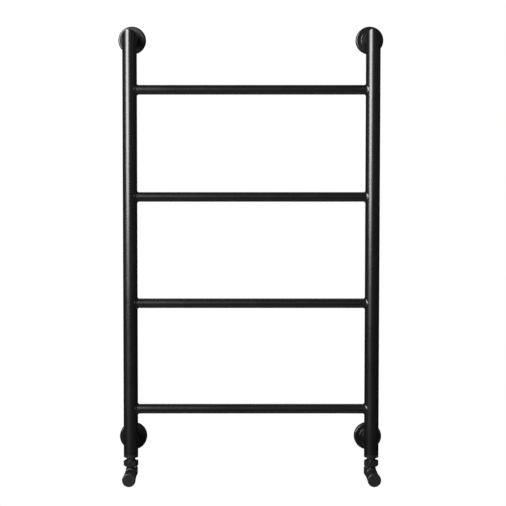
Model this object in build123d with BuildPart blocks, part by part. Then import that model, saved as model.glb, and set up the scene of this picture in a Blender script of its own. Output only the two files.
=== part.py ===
from build123d import *
from math import sqrt
import os

# A wall-hung ladder towel warmer for a wet heating system. Two round uprights are mitred at
# the top into stubs that run back to the wall, four round rails join them, and a plug-in
# wall spigot holds each of the four stubs. An angle valve hangs under each upright on a
# union. Millimetres. The wall is the plane Y = 0, the rack faces -Y, +Z is up, and the
# origin is the middle of the four wall screws.

# Ladder
upright_spacing = 500.0
upright_d = 30.0
upright_wall = 2.0
rail_d = 20.0
rail_wall = 1.5
rail_count = 4
fixing_height = 840.0
first_rail_drop = 108.0
last_rail_rise = 72.0
wall_distance = 75.0
foot_drop = 29.0
mitre_rounding = 2.5
weld_leg = 2.0

# Welded end bosses that take the valve tails
boss_flange = 6.0
boss_spigot = 8.0
boss_edge_rounding = 1.0
tail_thread_d = 20.9

# Wall fixings
spigot_base_d = 44.0
spigot_base_thickness = 5.0
spigot_d = 19.8
spigot_length = 24.0
spigot_nose_chamfer = 1.0
spigot_groove_depth = 1.5
spigot_groove_width = 5.5
wall_screw_d = 5.5
wall_screw_head_d = 11.0
plug_flange = 3.0
plug_length = 30.0
plug_nose = 4.0
grub_d = 5.0
grub_socket = 2.5
grub_drop = 5.5
rosette_d = 58.0
rosette_thickness = 10.0
rosette_edge_rounding = 3.0
rosette_collar_wall = 3.8
rosette_collar_height = 3.5
rosette_collar_rounding = 1.5
rosette_ring_d = 1.7
rosette_ring_setback = 4.5

# Air vent behind the right upright, just under its stub
vent_drop = 29.0
vent_boss_d = 16.0
vent_boss_stand = 5.0
vent_thread_d = 9.7
vent_thread_length = 7.0
vent_hex = 12.0
vent_hex_height = 4.5
vent_nose_d = 8.0
vent_nose_length = 4.0
bleed_d = 4.0
bleed_square = 5.0
bleed_square_length = 5.0
bleed_tip_length = 1.5
bleed_hole_d = 1.6
bleed_seat_depth = 3.5
vent_ring_d = 1.5

# Tail and union
tail_neck_stand = 7.0
tail_thread_length = 12.0
tail_bore_d = 13.0
tail_flange_thickness = 2.5
tail_ring_d = 1.45
tail_ring_rise = 3.0
union_nut_wall = 2.0
union_nut_height = 11.5
union_nut_lip = 2.5
union_nut_top_chamfer = 1.0
union_nut_bottom_chamfer = 2.6
union_nut_turn = {-1: 12.0, 1: 9.0}
union_thread_d = 23.0
gasket_thickness = 1.5

# Valve: lengths along its axis are counted forwards from the uprights' axes
valve_drop = 34.8
body_width = 24.0
body_height = 25.0
body_corner = 10.0
body_edge = 0.8
body_back = -14.0
body_front = 13.0
body_neck_d = 19.0
body_shoulder = 0.5
chamber_d = 18.0
chamber_floor = -6.0
port_d = 11.0
seat_height = 2.0
seat_wall = 2.0
bonnet_thread_d = 19.0
bonnet_thread_length = 7.2
compression_socket_wall = 2.85
compression_thread_length = 11.0
compression_nut_length = 16.0
compression_nut_floor = 2.5
compression_nut_wall = 1.55
compression_nut_gap = 1.0
compression_nut_turn = 30.0
compression_back_chamfer = 1.2
compression_front_chamfer = 0.6
pipe_d = 15.0
pipe_gap = 0.1
pipe_socket_depth = 12.0
olive_length = 5.0
olive_thickness = 1.8
olive_edge = 0.3
washer_d = 14.0
washer_thickness = 3.0
jumper_rim = 0.9
jumper_cup_depth = 1.5
jumper_plate = 2.0
jumper_stem_d = 5.0
jumper_stem_length = 8.0
spindle_collar_d = 11.8
spindle_collar_length = 3.4
spindle_thread_d = 10.0
spindle_thread_length = 12.5
spindle_stem_d = 8.0
spindle_front = 52.0
spindle_flat_depth = 0.8
spindle_flat_length = 12.0
bonnet_hex = 20.0
bonnet_hex_height = 5.0
bonnet_nose_d = 14.4
bonnet_nose_length = 12.0
bonnet_nose_chamfer = 1.0
bonnet_ring_d = 1.4
bonnet_gland_setback = 3.8
gland_ring_d = 1.9
stem_lift = 4.0
knob_back = 19.5
knob_front = 60.0
knob_back_d = 24.8
knob_front_d = 27.8
knob_front_rounding = 1.6
knob_back_rounding = 0.6
knob_skirt_d = 19.0
knob_skirt_depth = 14.0
knob_grub_d = 4.0
knob_grub_socket = 2.0
knob_grub_length = 7.0

# Hexagons: how far the corners are turned off, and how steeply
hex_seat_chamfer = 0.4
hex_free_chamfer = 1.0
hex_chamfer_slope = 0.6

# Clearances
thread_gap = 0.05
plug_gap = 0.05
running_gap = 0.06
ring_gap = 0.04
sleeve_gap = 0.2
nut_slip_gap = 0.15
flange_gap = 0.2
end_gap = 0.5
pocket_gap = 1.0

# Derived places
upright_r = upright_d / 2
bore_r = upright_r - upright_wall
rail_r = rail_d / 2
half_spacing = upright_spacing / 2
upright_y = -wall_distance
top_z = fixing_height / 2
bottom_z = -fixing_height / 2
foot_z = bottom_z - foot_drop
rail_pitch = (fixing_height - first_rail_drop - last_rail_rise) / (rail_count - 1)
rail_zs = [top_z - first_rail_drop - i * rail_pitch for i in range(rail_count)]
valve_z = foot_z - valve_drop
plug_back = spigot_base_thickness + end_gap
stub_back = plug_back + plug_flange
socket_r = spigot_d / 2 + 2 * plug_gap
grub_y = stub_back + grub_drop
tail_thread_r = tail_thread_d / 2
tail_neck_r = tail_thread_r - tail_ring_d
tail_ring_z = foot_z + tail_ring_rise
tail_flange_r = union_thread_d / 2 - flange_gap
tail_flange_z = foot_z - tail_neck_stand - union_nut_lip
nipple_z = tail_flange_z - tail_flange_thickness - gasket_thickness
union_nut_z = foot_z - tail_neck_stand
union_nut_foot_z = union_nut_z - union_nut_height
union_nut_hex = union_thread_d + 2 * union_nut_wall
compression_thread_d = pipe_d + 2 * pipe_gap + 2 * compression_socket_wall
compression_hex = compression_thread_d + 2 * compression_nut_wall
bonnet_back = body_front - bonnet_thread_length
bonnet_front = body_front + bonnet_hex_height + bonnet_nose_length
seat_face = chamber_floor + seat_height
washer_front = seat_face + washer_thickness
jumper_front = washer_front + jumper_plate
spindle_back = jumper_front + 2 * running_gap
collar_front = spindle_back + spindle_collar_length
thread_front = collar_front + spindle_thread_length
collar_bore_front = collar_front + stem_lift + end_gap
thread_bore_front = thread_front + stem_lift + end_gap
hub_back = knob_back + knob_skirt_depth
seated_hex = (hex_seat_chamfer, hex_free_chamfer)

sides = {"left": -1, "right": 1}
levels = {"top": top_z, "bottom": bottom_z}
forwards = (0, -1, 0)
backwards = (0, 1, 0)
upwards = (0, 0, 1)

os.makedirs("parts", exist_ok=True)


def save(builder, name):
    """Labels one finished piece and writes its STEP file."""
    builder.part.label = name
    export_step(builder.part, f"parts/{name}.step")


def side_x(side):
    """X of an upright's axis: side is -1 for the left and 1 for the right."""
    return side * half_spacing


def facing(origin):
    """A plane that faces forwards, with its own X to the right and its own Y upwards."""
    return Plane(origin=origin, x_dir=(1, 0, 0), z_dir=forwards)


def turned(origin, direction, outline):
    """A lathe-turned solid: the closed outline of (length, radius) points runs from the
    origin along the direction."""
    with BuildPart() as blank:
        with BuildSketch(Plane(origin=origin, x_dir=direction, z_dir=(1, 0, 0))):
            with BuildLine():
                Polyline(*outline, close=True)
            make_face()
        revolve(axis=Axis(origin, direction))
    return blank.part


def sleeve(origin, direction, start, end, outer_r, inner_r):
    """A plain turned tube."""
    outline = [(start, inner_r), (end, inner_r), (end, outer_r), (start, outer_r)]
    return turned(origin, direction, outline)


def o_ring(origin, direction, centre, inner_r, section_d):
    """An O-ring of the given inner radius, centred at a length along the direction."""
    section_r = section_d / 2
    with BuildPart() as ring:
        with BuildSketch(Plane(origin=origin, x_dir=direction, z_dir=(1, 0, 0))):
            with Locations((centre, inner_r + section_r)):
                Circle(section_r)
        revolve(axis=Axis(origin, direction))
    return ring.part


def hex_blank(origin, direction, start, end, across_flats, chamfers, turn=0.0):
    """A hexagon bar with its corners turned off at the start and the end."""
    tip_r = across_flats / sqrt(3)
    start_cut, end_cut = chamfers
    base = Plane(origin=origin, x_dir=(1, 0, 0), z_dir=direction).offset(start)
    with BuildPart() as bar:
        with BuildSketch(base):
            RegularPolygon(across_flats / 2, 6, major_radius=False, rotation=turn)
        extrude(amount=end - start)
        add(
            turned(
                origin,
                direction,
                [
                    (start, 0),
                    (start, tip_r - start_cut),
                    (start + hex_chamfer_slope * start_cut, tip_r),
                    (end - hex_chamfer_slope * end_cut, tip_r),
                    (end, tip_r - end_cut),
                    (end, 0),
                ],
            ),
            mode=Mode.INTERSECT,
        )
    return bar.part


def circles(builder, radius):
    """The circular edges of one radius."""
    round_edges = builder.edges().filter_by(GeomType.CIRCLE)
    return round_edges.filter_by(lambda edge: abs(edge.radius - radius) < 0.01)


def mitre_plane(side):
    """The 45 degree plane where an upright meets its top stub."""
    return Plane(origin=(side_x(side), upright_y, top_z), x_dir=(1, 0, 0), z_dir=(0, 1, 1))


def mitred_bar(side, radius, length, rounding):
    """A round bar that hangs from the mitre, with the mitre's outer corner rounded off."""
    corner = (side_x(side), upright_y, top_z)
    with BuildPart() as bar:
        with BuildSketch(Plane(origin=corner, z_dir=(0, 0, -1)).offset(-radius)):
            Circle(radius)
        extrude(amount=length + radius)
        split(bisect_by=mitre_plane(side), keep=Keep.BOTTOM)
        with BuildSketch(Plane(origin=corner, x_dir=(0, 1, 0), z_dir=(1, 0, 0))) as outline:
            with Locations((0, radius)):
                Rectangle(2 * radius, length + radius, align=(Align.CENTER, Align.MAX))
            outer_corner = outline.vertices().group_by(Axis.Y)[-1].sort_by(Axis.X)[0]
            fillet(outer_corner, rounding)
        extrude(amount=radius, both=True, mode=Mode.INTERSECT)
    return bar.part


def rail_bead(side, z):
    """The fillet weld round a rail where it meets an upright, with equal flat legs."""
    axis_point = (side_x(side), upright_y, z)
    along_rail = Plane(origin=axis_point, z_dir=(-side, 0, 0))
    with BuildPart() as bead:
        with BuildSketch(Plane(origin=axis_point).offset(-upright_d)):
            Circle(upright_r)
        extrude(amount=2 * upright_d)
        with BuildSketch(along_rail):
            Circle(rail_r)
        extrude(amount=upright_d)
        plain = (GeomType.LINE, GeomType.CIRCLE)
        seam = bead.edges().filter_by(lambda edge: edge.geom_type not in plain)
        chamfer(seam, weld_leg)
        with BuildSketch(Plane(origin=axis_point).offset(-upright_d)):
            Circle(upright_r)
        extrude(amount=2 * upright_d, mode=Mode.SUBTRACT)
        with BuildSketch(along_rail):
            Circle(rail_r)
        extrude(amount=2 * upright_d, mode=Mode.SUBTRACT)
    return bead.part


# Uprights: tubes with a mitred top, drilled where the rails enter them
for side_name, side in sides.items():
    upright_length = top_z - foot_z - boss_flange
    with BuildPart() as upright:
        add(mitred_bar(side, upright_r, upright_length, mitre_rounding))
        add(
            mitred_bar(side, bore_r, upright_length, mitre_rounding - upright_wall),
            mode=Mode.SUBTRACT,
        )
        for z in rail_zs:
            with BuildSketch(Plane(origin=(side_x(side), upright_y, z), z_dir=(-side, 0, 0))):
                Circle(rail_r - rail_wall)
            extrude(amount=upright_d, mode=Mode.SUBTRACT)
        if side == 1:
            vent_hole = Plane(origin=(side_x(side), upright_y, top_z - vent_drop), z_dir=(0, 1, 0))
            with BuildSketch(vent_hole):
                Circle(vent_thread_d / 2)
            extrude(amount=upright_d, mode=Mode.SUBTRACT)
    save(upright, f"upright_{side_name}")

# Top stubs: the other half of each mitre, running back to the wall
for side_name, side in sides.items():
    stub_length = wall_distance - stub_back
    with BuildPart() as top_stub:
        mirror(
            mitred_bar(side, upright_r, stub_length, mitre_rounding),
            about=mitre_plane(side),
        )
        mirror(
            mitred_bar(side, bore_r, stub_length, mitre_rounding - upright_wall),
            about=mitre_plane(side),
            mode=Mode.SUBTRACT,
        )
        with BuildSketch(Plane(origin=(side_x(side), -grub_y, top_z), z_dir=(0, 0, -1))):
            Circle(grub_d / 2 + thread_gap)
        extrude(amount=upright_d, mode=Mode.SUBTRACT)
    save(top_stub, f"top_stub_{side_name}")

# Bottom stubs: coped onto the backs of the uprights
for side_name, side in sides.items():
    with BuildPart() as bottom_stub:
        with BuildSketch(facing((side_x(side), -stub_back, bottom_z))):
            Circle(upright_r)
            Circle(bore_r, mode=Mode.SUBTRACT)
        extrude(amount=wall_distance - stub_back)
        with BuildSketch(Plane(origin=(side_x(side), upright_y, bottom_z - upright_d))):
            Circle(upright_r)
        extrude(amount=2 * upright_d, mode=Mode.SUBTRACT)
        with BuildSketch(Plane(origin=(side_x(side), -grub_y, bottom_z), z_dir=(0, 0, -1))):
            Circle(grub_d / 2 + thread_gap)
        extrude(amount=upright_d, mode=Mode.SUBTRACT)
    save(bottom_stub, f"bottom_stub_{side_name}")

# Rails: tubes coped to the uprights at both ends
for number, z in enumerate(rail_zs, start=1):
    with BuildPart() as rail:
        with BuildSketch(Plane(origin=(0, upright_y, z), z_dir=(1, 0, 0))):
            Circle(rail_r)
            Circle(rail_r - rail_wall, mode=Mode.SUBTRACT)
        extrude(amount=half_spacing, both=True)
        for side in sides.values():
            with BuildSketch(Plane(origin=(side_x(side), upright_y, z - upright_d))):
                Circle(upright_r)
            extrude(amount=2 * upright_d, mode=Mode.SUBTRACT)
    save(rail, f"rail_{number}")

# Weld beads round both ends of every rail
with BuildPart() as rail_welds:
    for side in sides.values():
        for z in rail_zs:
            add(rail_bead(side, z))
save(rail_welds, "rail_welds")

# End bosses: the threaded feet welded into the uprights
for side_name, side in sides.items():
    foot = (side_x(side), upright_y, foot_z)
    thread_r = tail_thread_r + thread_gap
    with BuildPart() as end_boss:
        add(
            turned(
                foot,
                upwards,
                [
                    (0, thread_r),
                    (boss_flange + boss_spigot, thread_r),
                    (boss_flange + boss_spigot, bore_r - plug_gap),
                    (boss_flange, bore_r - plug_gap),
                    (boss_flange, upright_r),
                    (0, upright_r),
                ],
            )
        )
        fillet(circles(end_boss, upright_r).sort_by(Axis.Z)[0], boss_edge_rounding)
    save(end_boss, f"end_boss_{side_name}")

# Socket plugs: they close the stubs against the water and take the wall spigots
with BuildPart() as socket_plugs:
    for side in sides.values():
        for z in levels.values():
            wall_point = (side_x(side), 0, z)
            add(
                turned(
                    wall_point,
                    forwards,
                    [
                        (plug_back, socket_r),
                        (plug_back + plug_length - plug_nose, socket_r),
                        (plug_back + plug_length - plug_nose, 0),
                        (plug_back + plug_length, 0),
                        (plug_back + plug_length, bore_r - plug_gap),
                        (stub_back, bore_r - plug_gap),
                        (stub_back, upright_r),
                        (plug_back, upright_r),
                    ],
                )
            )
            with BuildSketch(Plane(origin=(side_x(side), -grub_y, z), z_dir=(0, 0, -1))):
                Circle(grub_d / 2 + thread_gap)
            extrude(amount=upright_r, mode=Mode.SUBTRACT)
save(socket_plugs, "socket_plugs")

# Wall spigots: screwed to the wall, with a groove for the grub screw
groove_r = spigot_d / 2 - spigot_groove_depth
for level_name, z in levels.items():
    for side_name, side in sides.items():
        spigot_front = spigot_base_thickness + spigot_length
        sink_depth = (wall_screw_head_d - wall_screw_d) / 2
        with BuildPart() as wall_spigot:
            add(
                turned(
                    (side_x(side), 0, z),
                    forwards,
                    [
                        (0, wall_screw_d / 2),
                        (spigot_front - sink_depth, wall_screw_d / 2),
                        (spigot_front, wall_screw_head_d / 2),
                        (spigot_front, spigot_d / 2 - spigot_nose_chamfer),
                        (spigot_front - spigot_nose_chamfer, spigot_d / 2),
                        (grub_y + spigot_groove_width / 2 + spigot_groove_depth, spigot_d / 2),
                        (grub_y + spigot_groove_width / 2, groove_r),
                        (grub_y - spigot_groove_width / 2, groove_r),
                        (grub_y - spigot_groove_width / 2, spigot_d / 2),
                        (spigot_base_thickness, spigot_d / 2),
                        (spigot_base_thickness, spigot_base_d / 2),
                        (0, spigot_base_d / 2),
                    ],
                )
            )
        save(wall_spigot, f"wall_spigot_{level_name}_{side_name}")

# Grub screws: they lock the stubs onto the wall spigots from below
with BuildPart() as grub_screws:
    for side in sides.values():
        for z in levels.values():
            grub_tip = Plane(origin=(side_x(side), -grub_y, z), z_dir=(0, 0, -1)).offset(groove_r)
            with BuildSketch(grub_tip):
                Circle(grub_d / 2)
            extrude(amount=upright_r - groove_r - end_gap)
            with BuildSketch(grub_tip.offset(upright_r - groove_r - end_gap)):
                RegularPolygon(grub_socket / 2, 6, major_radius=False)
            extrude(amount=-grub_socket, mode=Mode.SUBTRACT)
save(grub_screws, "grub_screws")

# Rosettes: pressed covers that slide along the stubs, with a raised collar
rosette_front = rosette_thickness + rosette_collar_height
pocket_depth = spigot_base_thickness + end_gap
sleeve_r = upright_r + sleeve_gap
rosette_collar_r = sleeve_r + rosette_collar_wall
ring_groove_r = upright_r + rosette_ring_d + 2 * ring_gap
ring_y = rosette_front - rosette_ring_setback
ring_half = rosette_ring_d / 2 + ring_gap
for level_name, z in levels.items():
    for side_name, side in sides.items():
        with BuildPart() as rosette:
            add(
                turned(
                    (side_x(side), 0, z),
                    forwards,
                    [
                        (0, spigot_base_d / 2 + pocket_gap),
                        (pocket_depth, spigot_base_d / 2 + pocket_gap),
                        (pocket_depth, sleeve_r),
                        (ring_y - ring_half, sleeve_r),
                        (ring_y - ring_half, ring_groove_r),
                        (ring_y + ring_half, ring_groove_r),
                        (ring_y + ring_half, sleeve_r),
                        (rosette_front, sleeve_r),
                        (rosette_front, rosette_collar_r),
                        (rosette_thickness, rosette_collar_r),
                        (rosette_thickness, rosette_d / 2),
                        (0, rosette_d / 2),
                    ],
                )
            )
            face_edge = circles(rosette, rosette_d / 2).sort_by(Axis.Y)[0]
            fillet(face_edge, rosette_edge_rounding)
            collar_edge = circles(rosette, rosette_collar_r).sort_by(Axis.Y)[0]
            fillet(collar_edge, rosette_collar_rounding)
        save(rosette, f"rosette_{level_name}_{side_name}")

# O-rings that hold the rosettes on the stubs
with BuildPart() as rosette_o_rings:
    for side in sides.values():
        for z in levels.values():
            add(o_ring((side_x(side), 0, z), forwards, ring_y, upright_r + ring_gap, rosette_ring_d))
save(rosette_o_rings, "rosette_o_rings")

# Air vent: a welded boss, a screwed plug with its ring, and the bleed screw
vent_point = (half_spacing, upright_y, top_z - vent_drop)
vent_boss_back = upright_r + vent_boss_stand
vent_hex_back = vent_boss_back + vent_hex_height
vent_nose_back = vent_hex_back + vent_nose_length
vent_thread_start = vent_boss_back - vent_thread_length
vent_recess_r = vent_thread_d / 2 + vent_ring_d + 2 * ring_gap
vent_recess_start = vent_boss_back - vent_ring_d - 2 * ring_gap
bleed_seat = vent_boss_back - bleed_seat_depth
with BuildPart() as vent_boss:
    add(
        turned(
            vent_point,
            backwards,
            [
                (0, vent_thread_d / 2),
                (vent_recess_start, vent_thread_d / 2),
                (vent_recess_start, vent_recess_r),
                (vent_boss_back, vent_recess_r),
                (vent_boss_back, vent_boss_d / 2),
                (0, vent_boss_d / 2),
            ],
        )
    )
    with BuildSketch(Plane(origin=vent_point).offset(-upright_d)):
        Circle(upright_r)
    extrude(amount=2 * upright_d, mode=Mode.SUBTRACT)
save(vent_boss, "vent_boss")

with BuildPart() as vent_plug:
    add(hex_blank(vent_point, backwards, vent_boss_back, vent_hex_back, vent_hex, seated_hex))
    add(
        turned(
            vent_point,
            backwards,
            [
                (vent_thread_start, 0),
                (vent_thread_start, vent_thread_d / 2 - thread_gap),
                (vent_boss_back, vent_thread_d / 2 - thread_gap),
                (vent_boss_back, vent_nose_d / 2),
                (vent_nose_back, vent_nose_d / 2),
                (vent_nose_back, 0),
            ],
        )
    )
    add(
        turned(
            vent_point,
            backwards,
            [
                (vent_thread_start, 0),
                (vent_thread_start, bleed_hole_d / 2),
                (bleed_seat - bleed_tip_length, bleed_hole_d / 2),
                (bleed_seat, bleed_d / 2 + running_gap),
                (vent_nose_back, bleed_d / 2 + running_gap),
                (vent_nose_back, 0),
            ],
        ),
        mode=Mode.SUBTRACT,
    )
save(vent_plug, "vent_plug")

with BuildPart() as vent_o_ring:
    ring_centre = (vent_recess_start + vent_boss_back) / 2
    add(o_ring(vent_point, backwards, ring_centre, vent_thread_d / 2 + ring_gap, vent_ring_d))
save(vent_o_ring, "vent_o_ring")

with BuildPart() as bleed_screw:
    add(
        turned(
            vent_point,
            backwards,
            [
                (bleed_seat - bleed_tip_length + end_gap, 0),
                (bleed_seat - bleed_tip_length + end_gap, bleed_hole_d / 2),
                (bleed_seat + end_gap, bleed_d / 2),
                (vent_nose_back + end_gap, bleed_d / 2),
                (vent_nose_back + end_gap, 0),
            ],
        )
    )
    with BuildSketch(Plane(origin=vent_point, z_dir=backwards).offset(vent_nose_back + end_gap)):
        Rectangle(bleed_square, bleed_square)
    extrude(amount=bleed_square_length)
save(bleed_screw, "bleed_screw")

# O-rings between the end bosses and the tails
with BuildPart() as tail_o_rings:
    for side in sides.values():
        foot = (side_x(side), upright_y, foot_z)
        add(o_ring(foot, upwards, tail_ring_rise, tail_neck_r + ring_gap, tail_ring_d))
save(tail_o_rings, "tail_o_rings")

# One angle valve under each upright
for side_name, side in sides.items():
    foot = (side_x(side), upright_y, 0)
    centre = (side_x(side), upright_y, valve_z)
    ring_half_height = tail_ring_d / 2 + ring_gap
    nut_bore_r = union_thread_d / 2 + thread_gap

    with BuildPart() as tailpiece:
        add(
            turned(
                foot,
                upwards,
                [
                    (tail_flange_z - tail_flange_thickness, tail_bore_d / 2),
                    (foot_z + tail_thread_length, tail_bore_d / 2),
                    (foot_z + tail_thread_length, tail_thread_r),
                    (tail_ring_z + ring_half_height, tail_thread_r),
                    (tail_ring_z + ring_half_height, tail_neck_r),
                    (tail_ring_z - ring_half_height, tail_neck_r),
                    (tail_ring_z - ring_half_height, tail_thread_r),
                    (foot_z + end_gap, tail_thread_r),
                    (foot_z + end_gap, tail_neck_r),
                    (tail_flange_z, tail_neck_r),
                    (tail_flange_z, tail_flange_r),
                    (tail_flange_z - tail_flange_thickness, tail_flange_r),
                ],
            )
        )
    save(tailpiece, f"tailpiece_{side_name}")

    with BuildPart() as union_nut:
        add(
            hex_blank(
                foot,
                upwards,
                union_nut_foot_z,
                union_nut_z,
                union_nut_hex,
                (union_nut_bottom_chamfer, union_nut_top_chamfer),
                union_nut_turn[side],
            )
        )
        add(
            turned(
                foot,
                upwards,
                [
                    (union_nut_foot_z, 0),
                    (union_nut_foot_z, nut_bore_r),
                    (tail_flange_z, nut_bore_r),
                    (tail_flange_z, tail_thread_r + nut_slip_gap),
                    (union_nut_z, tail_thread_r + nut_slip_gap),
                    (union_nut_z, 0),
                ],
            ),
            mode=Mode.SUBTRACT,
        )
    save(union_nut, f"union_nut_{side_name}")

    with BuildPart() as union_gasket:
        add(
            sleeve(
                foot,
                upwards,
                nipple_z,
                nipple_z + gasket_thickness,
                tail_flange_r,
                tail_bore_d / 2,
            )
        )
    save(union_gasket, f"union_gasket_{side_name}")

    # The body: a forged block, a threaded nipple above, the pipe socket behind
    nipple_foot_z = union_nut_foot_z - body_shoulder
    shoulder_z = nipple_foot_z - (union_thread_d - body_neck_d) / 2
    pipe_back = body_back - compression_thread_length
    socket_wall_r = pipe_d / 2 + pipe_gap
    bonnet_recess = body_front - bonnet_ring_d - 2 * ring_gap
    bonnet_recess_r = bonnet_thread_d / 2 + bonnet_ring_d + ring_gap
    with BuildPart() as valve_body:
        with BuildSketch(facing(centre).offset(body_back)):
            RectangleRounded(body_width, body_height, body_corner)
        extrude(amount=body_front - body_back)
        chamfer(faces().filter_by(Axis.Y).edges(), body_edge)
        add(
            turned(
                foot,
                upwards,
                [
                    (valve_z, 0),
                    (valve_z, body_neck_d / 2),
                    (shoulder_z, body_neck_d / 2),
                    (nipple_foot_z, union_thread_d / 2),
                    (nipple_z, union_thread_d / 2),
                    (nipple_z, 0),
                ],
            )
        )
        add(sleeve(centre, forwards, pipe_back, body_back, compression_thread_d / 2, 0))
        add(sleeve(foot, upwards, valve_z, nipple_z, port_d / 2, 0), mode=Mode.SUBTRACT)
        add(
            turned(
                centre,
                forwards,
                [
                    (pipe_back, 0),
                    (pipe_back, socket_wall_r + olive_thickness),
                    (pipe_back + olive_thickness, socket_wall_r),
                    (pipe_back + pipe_socket_depth, socket_wall_r),
                    (pipe_back + pipe_socket_depth, port_d / 2),
                    (body_front, port_d / 2),
                    (body_front, 0),
                ],
            ),
            mode=Mode.SUBTRACT,
        )
        add(
            turned(
                centre,
                forwards,
                [
                    (chamber_floor, port_d / 2 + seat_wall),
                    (chamber_floor, chamber_d / 2),
                    (bonnet_back, chamber_d / 2),
                    (bonnet_back, bonnet_thread_d / 2),
                    (bonnet_recess, bonnet_thread_d / 2),
                    (bonnet_recess, bonnet_recess_r),
                    (body_front, bonnet_recess_r),
                    (body_front, 0),
                    (seat_face, 0),
                    (seat_face, port_d / 2 + seat_wall),
                ],
            ),
            mode=Mode.SUBTRACT,
        )
    save(valve_body, f"valve_body_{side_name}")

    # The compression joint: the nut draws the olive onto the pipe from the wall
    nut_front = body_back - compression_nut_gap
    nut_back = nut_front - compression_nut_length
    nut_floor = nut_back + compression_nut_floor
    nut_chamfers = (compression_back_chamfer, compression_front_chamfer)
    with BuildPart() as compression_nut:
        add(
            hex_blank(
                centre,
                forwards,
                nut_back,
                nut_front,
                compression_hex,
                nut_chamfers,
                compression_nut_turn,
            )
        )
        add(
            turned(
                centre,
                forwards,
                [
                    (nut_back, 0),
                    (nut_back, socket_wall_r),
                    (nut_floor, socket_wall_r),
                    (nut_floor, compression_thread_d / 2 + thread_gap),
                    (nut_front, compression_thread_d / 2 + thread_gap),
                    (nut_front, 0),
                ],
            ),
            mode=Mode.SUBTRACT,
        )
    save(compression_nut, f"compression_nut_{side_name}")

    with BuildPart() as olive:
        add(
            turned(
                centre,
                forwards,
                [
                    (nut_floor, socket_wall_r),
                    (nut_floor, socket_wall_r + olive_edge),
                    (nut_floor + olive_length / 2, socket_wall_r + olive_thickness - pipe_gap),
                    (nut_floor + olive_length, socket_wall_r + olive_edge),
                    (nut_floor + olive_length, socket_wall_r),
                ],
            )
        )
    save(olive, f"olive_{side_name}")

    # The headwork: bonnet, its ring, the gland ring and the screwed spindle
    bonnet_hex_front = body_front + bonnet_hex_height
    gland_half = gland_ring_d / 2 + ring_gap
    gland_centre = bonnet_front - bonnet_gland_setback
    gland_groove_r = spindle_stem_d / 2 + gland_ring_d + 2 * ring_gap
    with BuildPart() as bonnet:
        add(hex_blank(centre, forwards, body_front, bonnet_hex_front, bonnet_hex, seated_hex))
        add(
            turned(
                centre,
                forwards,
                [
                    (bonnet_back, 0),
                    (bonnet_back, bonnet_thread_d / 2 - thread_gap),
                    (body_front, bonnet_thread_d / 2 - thread_gap),
                    (body_front, bonnet_nose_d / 2),
                    (bonnet_front - bonnet_nose_chamfer, bonnet_nose_d / 2),
                    (bonnet_front, bonnet_nose_d / 2 - bonnet_nose_chamfer),
                    (bonnet_front, 0),
                ],
            )
        )
        add(
            turned(
                centre,
                forwards,
                [
                    (bonnet_back, 0),
                    (bonnet_back, spindle_collar_d / 2 + end_gap),
                    (collar_bore_front, spindle_collar_d / 2 + end_gap),
                    (collar_bore_front, spindle_thread_d / 2 + running_gap),
                    (thread_bore_front, spindle_thread_d / 2 + running_gap),
                    (thread_bore_front, spindle_stem_d / 2 + running_gap),
                    (gland_centre - gland_half, spindle_stem_d / 2 + running_gap),
                    (gland_centre - gland_half, gland_groove_r),
                    (gland_centre + gland_half, gland_groove_r),
                    (gland_centre + gland_half, spindle_stem_d / 2 + running_gap),
                    (bonnet_front, spindle_stem_d / 2 + running_gap),
                    (bonnet_front, 0),
                ],
            ),
            mode=Mode.SUBTRACT,
        )
    save(bonnet, f"bonnet_{side_name}")

    with BuildPart() as bonnet_o_ring:
        ring_centre = (bonnet_recess + body_front) / 2
        add(o_ring(centre, forwards, ring_centre, bonnet_thread_d / 2, bonnet_ring_d))
    save(bonnet_o_ring, f"bonnet_o_ring_{side_name}")

    with BuildPart() as gland_o_ring:
        gland_inner_r = spindle_stem_d / 2 + ring_gap
        add(o_ring(centre, forwards, gland_centre, gland_inner_r, gland_ring_d))
    save(gland_o_ring, f"gland_o_ring_{side_name}")

    flat_back = spindle_front - spindle_flat_length
    flat_r = spindle_stem_d / 2 - spindle_flat_depth
    with BuildPart() as spindle:
        add(
            turned(
                centre,
                forwards,
                [
                    (spindle_back, jumper_stem_d / 2 + running_gap),
                    (spindle_back, spindle_collar_d / 2),
                    (collar_front, spindle_collar_d / 2),
                    (collar_front, spindle_thread_d / 2),
                    (thread_front, spindle_thread_d / 2),
                    (thread_front, spindle_stem_d / 2),
                    (spindle_front, spindle_stem_d / 2),
                    (spindle_front, 0),
                    (jumper_front + jumper_stem_length + end_gap, 0),
                    (
                        jumper_front + jumper_stem_length + end_gap,
                        jumper_stem_d / 2 + running_gap,
                    ),
                ],
            )
        )
        with BuildSketch(facing(centre).offset(flat_back)):
            with Locations((0, -flat_r)):
                Rectangle(spindle_stem_d, spindle_stem_d, align=(Align.CENTER, Align.MAX))
        extrude(amount=spindle_flat_length, mode=Mode.SUBTRACT)
    save(spindle, f"spindle_{side_name}")

    # The jumper carries the seat washer and does not turn
    with BuildPart() as jumper:
        rim_r = washer_d / 2 + jumper_rim
        add(
            turned(
                centre,
                forwards,
                [
                    (washer_front, 0),
                    (washer_front, washer_d / 2 + thread_gap),
                    (washer_front - jumper_cup_depth, washer_d / 2 + thread_gap),
                    (washer_front - jumper_cup_depth, rim_r),
                    (jumper_front, rim_r),
                    (jumper_front, jumper_stem_d / 2),
                    (jumper_front + jumper_stem_length, jumper_stem_d / 2),
                    (jumper_front + jumper_stem_length, 0),
                ],
            )
        )
    save(jumper, f"jumper_{side_name}")

    with BuildPart() as seat_washer:
        add(sleeve(centre, forwards, seat_face, washer_front, washer_d / 2, 0))
    save(seat_washer, f"seat_washer_{side_name}")

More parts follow.
